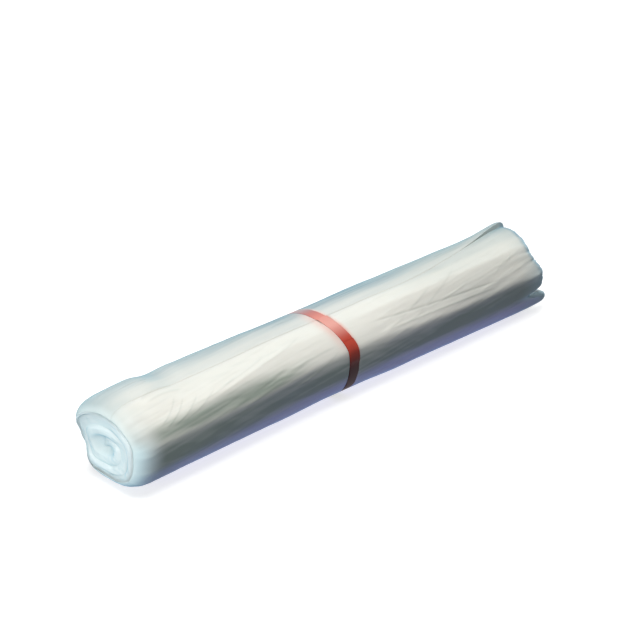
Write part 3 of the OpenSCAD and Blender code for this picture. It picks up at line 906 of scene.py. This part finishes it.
# Painted shade of the tape's foot
TAPE_FOOT_SHADE = (0.04, 0.01, 0.012, 1)
WHITE = (1, 1, 1, 1)

# Film: its grain, stretched along the roll, the roughness over that grain, and its coat
GRAIN_SCALE, GRAIN_DETAIL, GRAIN_LOW, GRAIN_HIGH = (60, 420, 420), 4.0, 0.3, 0.7
FILM_ROUGH_LOW, FILM_ROUGH_HIGH = 0.26, 0.38
FILM_IOR, FILM_BUMP = 1.18, 0.25
COAT_ROUGH, COAT_IOR, COAT_TINT = 0.35, 1.01, (0.86, 0.925, 0.95, 1)
# Share of light that goes into the film of the body and of the windings, and its depths in metres
BODY_GLOW, BODY_DEPTH, BODY_END_DEPTH = 0.45, 0.0015, 0.0025
EDGE_GLOW, EDGE_DEPTH = 0.9, 0.008
# Tape: its grain, gloss and bump
TAPE_GRAIN, TAPE_DETAIL = 260.0, 3.0
TAPE_ROUGH, TAPE_IOR, TAPE_BUMP = 0.4, 1.2, 0.4
BUMP_D_M = 0.00004


def film_material(name, glow, depth, end_depth, end_tint, low_tint):
    """Milky film: warm white where it is wound tight, with a satin gloss, and tints painted as
    shade on the loose strip over its back, its front and its underside, and as shade and light at
    its ends.
    Light goes a depth in metres into it, and the end depth at the ends, in the share of glow."""
    material, tree, shader = new_material(name)
    where = node(tree, "ShaderNodeTexCoord").outputs["Object"]
    stretched = node(tree, "ShaderNodeMapping", {"Vector": where, "Scale": GRAIN_SCALE}).outputs[0]
    noise = {"Vector": stretched, "Scale": 1.0, "Detail": GRAIN_DETAIL}
    grain = node(tree, "ShaderNodeTexNoise", noise).outputs[0]
    # Painted shade of the strip over the back
    body = blend(tree, own_value(tree, "loose"), FILM_WARM, FILM_STRIP_SHADE)
    # Painted shade on the front, in the creases and over the far half
    body = blend(tree, own_value(tree, "hollow"), body, FILM_FRONT_SHADE)
    body = blend(tree, own_value(tree, "under"), body, FILM_UNDER)
    body = blend(tree, own_value(tree, "blush"), body, FILM_BLUSH)
    # Ends: painted shade on the rounding, and painted light on its lower front
    end = blend(tree, own_value(tree, "low"), end_tint, low_tint)
    tint = blend(tree, own_value(tree, "ends"), body, end)
    # The near lip's last millimetres painted lighter, to run into the lit end face
    tint = blend(tree, own_value(tree, "edge"), tint, FILM_EDGE)
    # The far lip painted dark as shade
    tint = blend(tree, own_value(tree, "dusk"), tint, FILM_DUSK)
    tree.links.new(tint, shader.inputs["Base Color"])
    gloss = {0: grain, 1: GRAIN_LOW, 2: GRAIN_HIGH, 3: FILM_ROUGH_LOW, 4: FILM_ROUGH_HIGH}
    rough = node(tree, "ShaderNodeMapRange", gloss)
    tree.links.new(rough.outputs[0], shader.inputs["Roughness"])
    add_bump(tree, shader, grain, FILM_BUMP)
    shader.inputs["IOR"].default_value = FILM_IOR
    shader.inputs["Subsurface Weight"].default_value = glow
    shader.inputs["Subsurface Radius"].default_value = (1.0, 1.0, 1.0)
    deep = node(tree, "ShaderNodeMapRange", {0: own_value(tree, "ends"), 3: depth, 4: end_depth})
    tree.links.new(deep.outputs[0], shader.inputs["Subsurface Scale"])
    shader.inputs["Coat Weight"].default_value = 1.0
    shader.inputs["Coat Roughness"].default_value = COAT_ROUGH
    shader.inputs["Coat IOR"].default_value = COAT_IOR
    shader.inputs["Coat Tint"].default_value = COAT_TINT
    return material


def tape_material():
    """Glossy red plastic tape with a faint grain, a painted highlight on top, a painted grey sheen
    behind and painted shade at its foot.
    """
    material, tree, shader = new_material("red_tape_film")
    where = node(tree, "ShaderNodeTexCoord").outputs["Object"]
    noise = {"Vector": where, "Scale": TAPE_GRAIN, "Detail": TAPE_DETAIL}
    grain = node(tree, "ShaderNodeTexNoise", noise).outputs[0]
    tint = blend(tree, grain, TAPE_RED, TAPE_BRIGHT)
    # Painted highlight on top
    tint = blend(tree, own_value(tree, "tape_highlight"), tint, TAPE_HIGHLIGHT)
    # Painted grey sheen over its top back
    tint = blend(tree, own_value(tree, "tape_grey_sheen"), tint, TAPE_GREY_SHEEN)
    # Painted shade at its foot, in the groove
    tint = blend(tree, own_value(tree, "dark"), tint, TAPE_FOOT_SHADE)
    tree.links.new(tint, shader.inputs["Base Color"])
    shader.inputs["Roughness"].default_value = TAPE_ROUGH
    shader.inputs["IOR"].default_value = TAPE_IOR
    add_bump(tree, shader, grain, TAPE_BUMP)
    return material


def softbox(name, place, aim, size, power, colour):
    """A rectangular soft lamp at place, turned to aim, both in metres, with its power in watts."""
    lamp = bpy.data.lights.new(name, "AREA")
    lamp.shape = "RECTANGLE"
    lamp.size, lamp.size_y = size
    lamp.energy = power
    lamp.color = colour
    made = bpy.data.objects.new(name, lamp)
    made.location = place
    made.rotation_euler = (Vector(aim) - Vector(place)).to_track_quat("-Z", "Y").to_euler()
    bpy.context.scene.collection.objects.link(made)


# Floor, in metres: its colour as seen and as it bounces light, the glow that it sends to the roll's
# underside and where that fades, and the glow that is seen, which is white far from the roll
FLOOR_HALF, FLOOR_Z = 6.0, -0.0002
FLOOR_CORNERS = ((-1, -1), (1, -1), (1, 1), (-1, 1))
FLOOR_PALE = (0.5, 0.5, 0.5, 1)
FLOOR_BOUNCE = (0.05, 0.05, 0.07, 1)
FLOOR_GLOW = (0.52, 0.5, 1.0, 1)
FLOOR_GLOW_DIM, FLOOR_GLOW_SEEN = 0.05, 0.68
FLOOR_GLOW_NEAR, FLOOR_GLOW_FROM, FLOOR_GLOW_TO = 0.8, 0.0, 0.062
FLOOR_GLOW_HALF, FLOOR_GLOW_FADE = 0.11, 0.05
FLOOR_NEAR, FLOOR_FAR = 0.25, 1.4


def seen_directly(tree):
    """1 for rays that come from the camera or by way of gloss or glass, and 0 for the others."""
    path = node(tree, "ShaderNodeLightPath")
    pair = {0: path.outputs["Is Camera Ray"], 1: path.outputs["Is Glossy Ray"]}
    first = node(tree, "ShaderNodeMath", pair, operation="MAXIMUM")
    pair = {0: first.outputs[0], 1: path.outputs["Is Transmission Ray"]}
    return node(tree, "ShaderNodeMath", pair, operation="MAXIMUM").outputs[0]


def make_floor():
    """A wide pale floor just under the roll. It keeps the shadow, and bounces little light back."""
    material, tree, shader = new_material("pale_floor")
    direct = seen_directly(tree)
    tree.links.new(blend(tree, direct, FLOOR_BOUNCE, FLOOR_PALE), shader.inputs["Base Color"])
    shader.inputs["Roughness"].default_value = 1.0
    shader.inputs["Specular IOR Level"].default_value = 0.0
    hue = blend(tree, direct, FLOOR_GLOW, WHITE)
    where = node(tree, "ShaderNodeTexCoord").outputs["Object"]
    place = node(tree, "ShaderNodeSeparateXYZ", {0: where})
    beside = node(tree, "ShaderNodeMath", {0: place.outputs[1]}, operation="ABSOLUTE").outputs[0]
    dim = smooth_range(
        tree, beside, FLOOR_GLOW_FROM, FLOOR_GLOW_TO, FLOOR_GLOW_NEAR, FLOOR_GLOW_DIM
    )
    off = node(tree, "ShaderNodeMath", {0: place.outputs[0]}, operation="ABSOLUTE").outputs[0]
    glow_end = FLOOR_GLOW_HALF + FLOOR_GLOW_FADE
    dim = smooth_range(tree, off, FLOOR_GLOW_HALF, glow_end, dim, FLOOR_GLOW_DIM)
    far = node(tree, "ShaderNodeVectorMath", {0: where}, operation="LENGTH").outputs["Value"]
    seen = smooth_range(tree, far, FLOOR_NEAR, FLOOR_FAR, FLOOR_GLOW_SEEN, 1.0)
    glow = node(tree, "ShaderNodeMapRange", {0: direct, 3: dim, 4: seen})
    tree.links.new(hue, shader.inputs["Emission Color"])
    tree.links.new(glow.outputs[0], shader.inputs["Emission Strength"])
    corners = [(x * FLOOR_HALF, y * FLOOR_HALF, FLOOR_Z) for x, y in FLOOR_CORNERS]
    mesh = bpy.data.meshes.new("floor")
    mesh.from_pydata(corners, [], [(0, 1, 2, 3)])
    mesh.materials.append(material)
    floor = bpy.data.objects.new("floor", mesh)
    bpy.context.scene.collection.objects.link(floor)


# Even light of the surround, and its tint
AMBIENT = 0.06
AMBIENT_TINT = (0.95, 1.0, 0.93, 1)


def make_world():
    """A white surround for the eye, gloss and glass, and a dim even one for everything else."""
    world = bpy.data.worlds.new("studio")
    bpy.context.scene.world = world
    world.use_nodes = True
    tree = world.node_tree
    background = tree.nodes["Background"]
    direct = seen_directly(tree)
    tree.links.new(blend(tree, direct, AMBIENT_TINT, WHITE), background.inputs["Color"])
    level = node(tree, "ShaderNodeMapRange", {0: direct, 3: AMBIENT, 4: 1.0})
    tree.links.new(level.outputs[0], background.inputs["Strength"])


def make_camera():
    """The camera: a long lens above the near end's left, as far off as CAM_DISTANCE."""
    a, e = np.radians(CAM_AZIMUTH), np.radians(CAM_ELEVATION)
    back = np.array([np.sin(a) * np.cos(e), -np.cos(a) * np.cos(e), np.sin(e)])
    right = np.array([np.cos(a), np.sin(a), 0])
    up = np.cross(back, right)
    place = np.array(CAM_AIM) + back * CAM_DISTANCE
    lens = bpy.data.cameras.new("camera")
    lens.sensor_width = SENSOR_MM
    lens.lens = CAM_FOCAL_PX / FRAME_PX * SENSOR_MM
    lens.clip_end = CAM_CLIP_M
    camera = bpy.data.objects.new("camera", lens)
    turned = Matrix((right, up, back)).transposed().to_4x4()
    camera.matrix_world = Matrix.Translation(Vector(place * MM)) @ turned
    bpy.context.scene.collection.objects.link(camera)
    bpy.context.scene.camera = camera


# Lamps: name, place and aim in metres, size in metres, power in watts and colour
MIDDLE, NEAR_END = (0, 0, 0.02), (-0.15, 0, 0.02)
LAMPS = (
    ("key_softbox", (-0.15, -0.1, 1.12), MIDDLE, (0.7, 0.7), 12.3, (1, 1, 1)),
    ("sheen_panel", (0.75, 0.25, 0.97), MIDDLE, (0.35, 0.35), 2.4, (1, 1, 1)),
    ("near_panel", (-1.15, -0.08, 0.2), MIDDLE, (0.7, 0.5), 8.8, (0.96, 0.99, 0.96)),
    ("corner_panel", (-0.55, -0.24, 0.07), NEAR_END, (0.25, 0.12), 0.55, (0.76, 0.96, 1.0)),
    ("far_panel", (1.15, 0.05, 0.25), MIDDLE, (0.7, 0.5), 5.0, (0.95, 1.0, 0.97)),
    ("back_panel", (0.0, 1.2, 0.15), MIDDLE, (0.9, 0.5), 3.0, (1, 1, 1)),
)


def make_lights():
    """A wide key softbox above the roll, a sheen panel at its far side, a panel off each end, a
    small low one at the near end's front corner, and one behind."""
    for lamp in LAMPS:
        softbox(*lamp)


# The body's film, with painted shade and light on the ends' rounding
film = film_material(
    "milky_film", BODY_GLOW, BODY_DEPTH, BODY_END_DEPTH, FILM_LIP, FILM_LIP_LOW
)
# The windings' film: its own whiter colour, and painted lighter for light that glows through the
# layers
edges = film_material("film_edges", EDGE_GLOW, EDGE_DEPTH, EDGE_DEPTH, FILM_END, FILM_END)
red = tape_material()
film_body(film)
winding("near_winding", -1, edges)
winding("far_winding", 1, edges)
tape_band(red)
make_floor()
make_world()
make_lights()
make_camera()
bpy.context.scene.view_settings.view_transform = "Standard"
